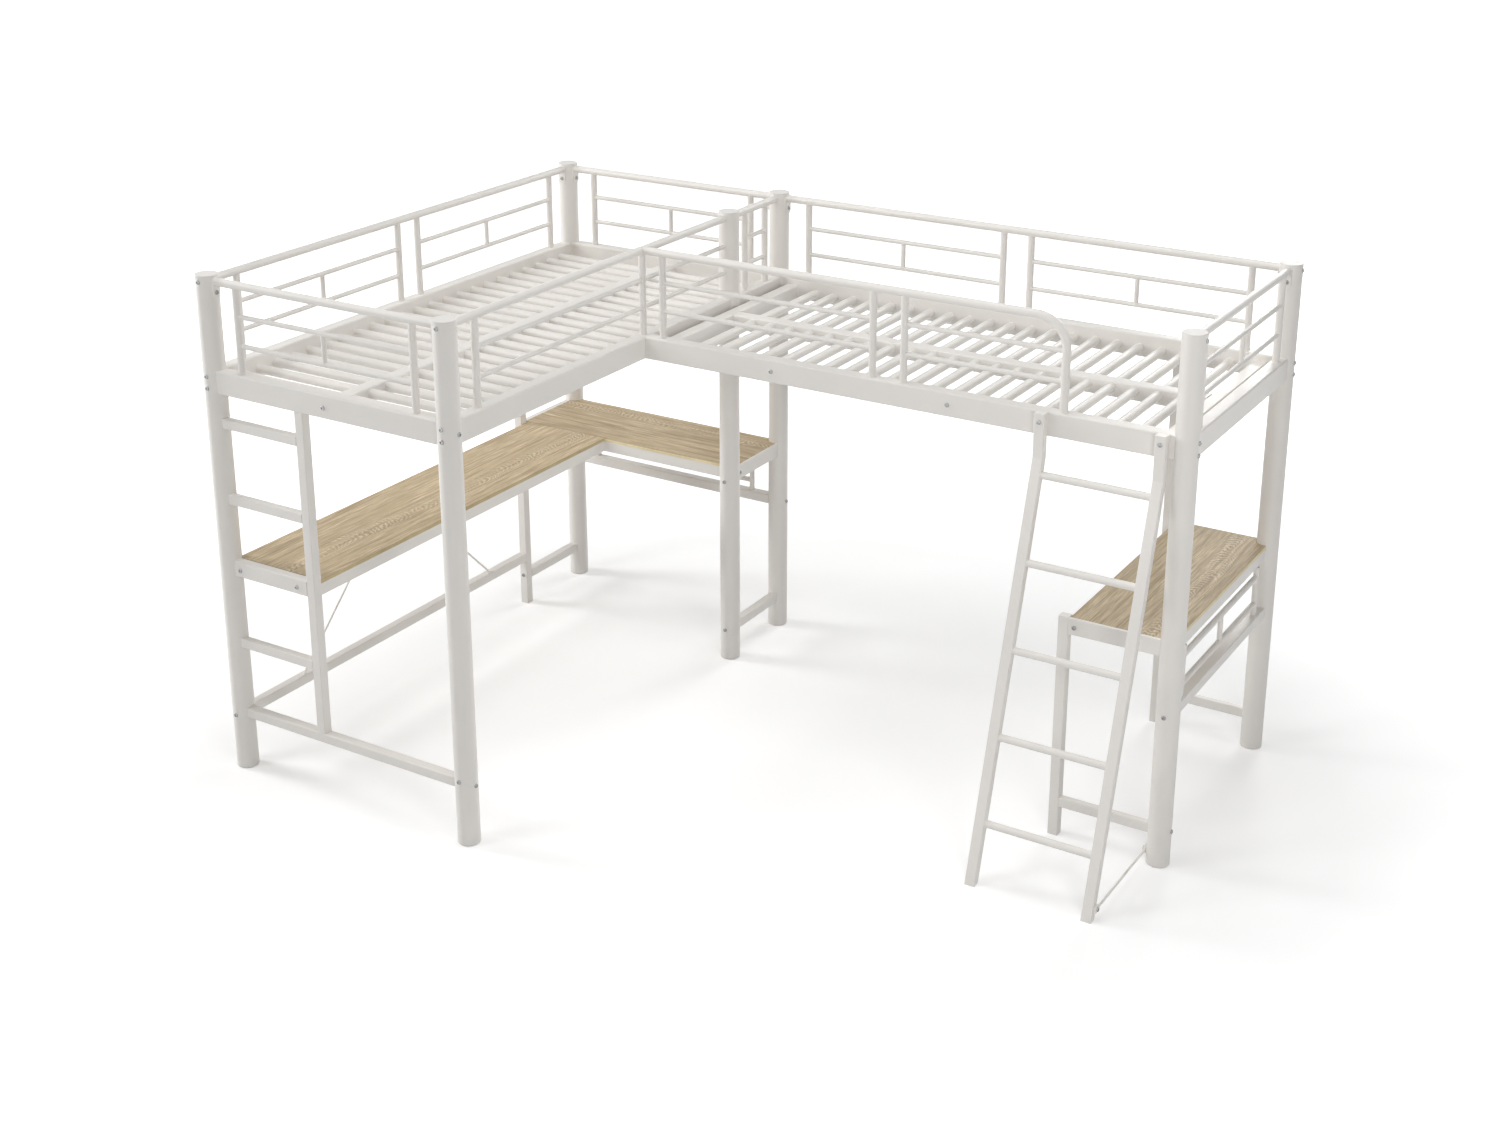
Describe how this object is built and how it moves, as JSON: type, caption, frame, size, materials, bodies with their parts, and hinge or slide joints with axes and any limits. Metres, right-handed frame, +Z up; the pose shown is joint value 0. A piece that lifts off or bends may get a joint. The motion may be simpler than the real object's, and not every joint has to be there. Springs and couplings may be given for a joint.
{
  "type": "loft bed",
  "caption": "L-shaped loft bed of white metal tube: slatted sleeping decks at right angles with guard rails and ladders, and wooden desks built in below.",
  "frame": {"origin": "bottom centre of the bed's box, on the floor below the middle of the L", "axes": "+X along the long side of the L, +Y from the front with the ladders to the back, +Z up"},
  "size_m": [3.03, 2.045, 1.776],
  "materials": {
    "white_metal": "satin powder coat",
    "white_plastic": "matte moulded",
    "oak_board": "matte oak laminate",
    "steel": "zinc plated"
  },
  "bodies": {
    "root": {"bolt_nuts": "steel", "bolts": "steel", "brace_rods": "white_metal", "center_beam_a": "white_metal", "center_beam_b": "white_metal", "corner_leg": "white_metal", "corner_stretcher": "white_metal", "desk_board_corner": "oak_board", "desk_board_left": "oak_board", "desk_board_right": "oak_board", "desk_frame_corner": "white_metal", "desk_frame_left": "white_metal", "desk_frame_right": "white_metal", "desk_rail_corner": "white_metal", "desk_rail_front": "white_metal", "desk_rail_inner": "white_metal", "desk_rails_right": "white_metal", "end_beams_b": "white_metal", "front_stretcher": "white_metal", "guard_a_back": "white_metal", "guard_a_front": "white_metal", "guard_a_inner": "white_metal", "guard_a_left": "white_metal", "guard_b_back": "white_metal", "guard_b_end": "white_metal", "guard_b_front": "white_metal", "guard_inner_short": "white_metal", "inner_stretcher": "white_metal", "ladder_brace": "white_metal", "ladder_rungs": "white_metal", "ladder_stiles": "white_metal", "panel_corner": "white_metal", "panel_right": "white_metal", "post_back_left": "white_metal", "post_back_middle": "white_metal", "post_back_right": "white_metal", "post_caps": "white_plastic", "post_desk_inner": "white_metal", "post_feet": "white_plastic", "post_front_inner": "white_metal", "post_front_left": "white_metal", "post_front_right": "white_metal", "rail_a_back": "white_metal", "rail_a_front": "white_metal", "rail_a_inner": "white_metal", "rail_a_left": "white_metal", "rail_b_back": "white_metal", "rail_b_end": "white_metal", "rail_b_front": "white_metal", "rail_inner_short": "white_metal", "right_leg_back": "white_metal", "right_leg_front": "white_metal", "right_stretchers": "white_metal", "side_ladder_rungs": "white_metal", "side_ladder_stile": "white_metal", "side_stretcher": "white_metal", "slats_a_left": "white_metal", "slats_a_right": "white_metal", "slats_b_back": "white_metal", "slats_b_front": "white_metal"}
  },
  "joints": []
}
